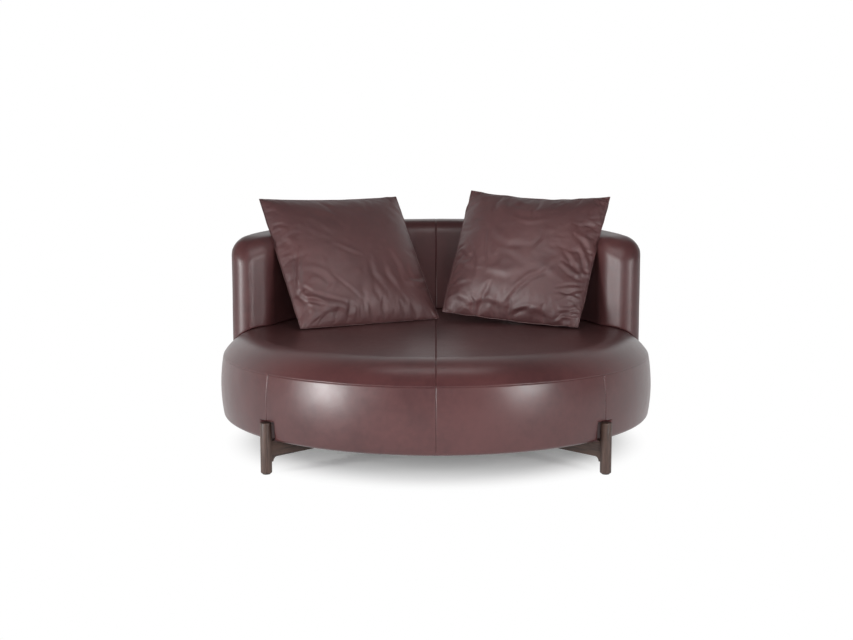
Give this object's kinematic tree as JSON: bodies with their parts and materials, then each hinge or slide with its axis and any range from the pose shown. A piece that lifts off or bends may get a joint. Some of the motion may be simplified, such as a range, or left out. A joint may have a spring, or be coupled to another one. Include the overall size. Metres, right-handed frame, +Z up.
{
  "type": "leather sofa",
  "caption": "Round two-seat leather sofa: deep padded disc seat, curved back round its rear half, loose square cushions, round wooden legs on diagonal rails.",
  "frame": {"origin": "on the floor, under the middle of the round seat", "axes": "+Z up, +Y towards the back, +X to the right of someone who looks at the front"},
  "size_m": [1.6798, 1.68, 0.9647],
  "materials": {
    "leather": "smooth burgundy-brown leather, semi-gloss",
    "cushion_leather": "soft burgundy-brown leather, semi-gloss",
    "dark_wood": "dark stained wood, fine grain, satin",
    "plywood": "birch plywood, unfinished",
    "glide": "nylon, dark",
    "spacer": "rubber, matt",
    "steel": "zinc-plated steel",
    "webbing": "elastic webbing",
    "dust_cloth": "black non-woven cloth",
    "foam": null,
    "feather_filling": "feather filling in a cotton case",
    "zip": "nylon coil zip"
  },
  "bodies": {
    "sofa": {"arm_foam_left": "foam", "arm_foam_right": "foam", "back_cover_inner_left": "leather", "back_cover_inner_right": "leather", "back_cover_outer_left": "leather", "back_cover_outer_right": "leather", "back_foot_rail": "plywood", "back_inner_foam": "foam", "back_outer_foam": "foam", "back_ribs": "plywood", "back_shell_inner": "plywood", "back_shell_outer": "plywood", "back_top_foam": "foam", "back_top_rail": "plywood", "back_uprights": "steel", "band_front_left": "leather", "band_front_right": "leather", "band_left": "leather", "band_rear_left": "leather", "band_rear_right": "leather", "band_right": "leather", "base_bolts": "steel", "dust_cover": "dust_cloth", "glide_front_left": "glide", "glide_front_right": "glide", "glide_rear_left": "glide", "glide_rear_right": "glide", "joist_lower": "plywood", "joist_upper": "plywood", "leg_front_left": "dark_wood", "leg_front_right": "dark_wood", "leg_rear_left": "dark_wood", "leg_rear_right": "dark_wood", "rail_lower": "dark_wood", "rail_spacers": "spacer", "rail_upper": "dark_wood", "recess_linings": "leather", "seat_board": "plywood", "seat_core_foam": "foam", "seat_cover_left": "leather", "seat_cover_right": "leather", "seat_ring": "plywood", "seat_side_foam": "foam", "seat_top_foam": "foam", "threaded_inserts": "steel", "upright_bolts": "steel", "upright_nuts": "steel", "webbing_across": "webbing", "webbing_along": "webbing"},
    "cushion_left": {"cushion_left_cover_back": "cushion_leather", "cushion_left_cover_front": "cushion_leather", "cushion_left_filling": "feather_filling", "cushion_left_zip": "zip"},
    "cushion_right": {"cushion_right_cover_back": "cushion_leather", "cushion_right_cover_front": "cushion_leather", "cushion_right_filling": "feather_filling", "cushion_right_zip": "zip"}
  },
  "joints": [
    {"name": "cushion_left_lift", "type": "slide", "parent": "sofa", "child": "cushion_left", "axis": [0, 0, 1], "range_m": [0, 0.5]},
    {"name": "cushion_right_lift", "type": "slide", "parent": "sofa", "child": "cushion_right", "axis": [0, 0, 1], "range_m": [0, 0.5]}
  ]
}
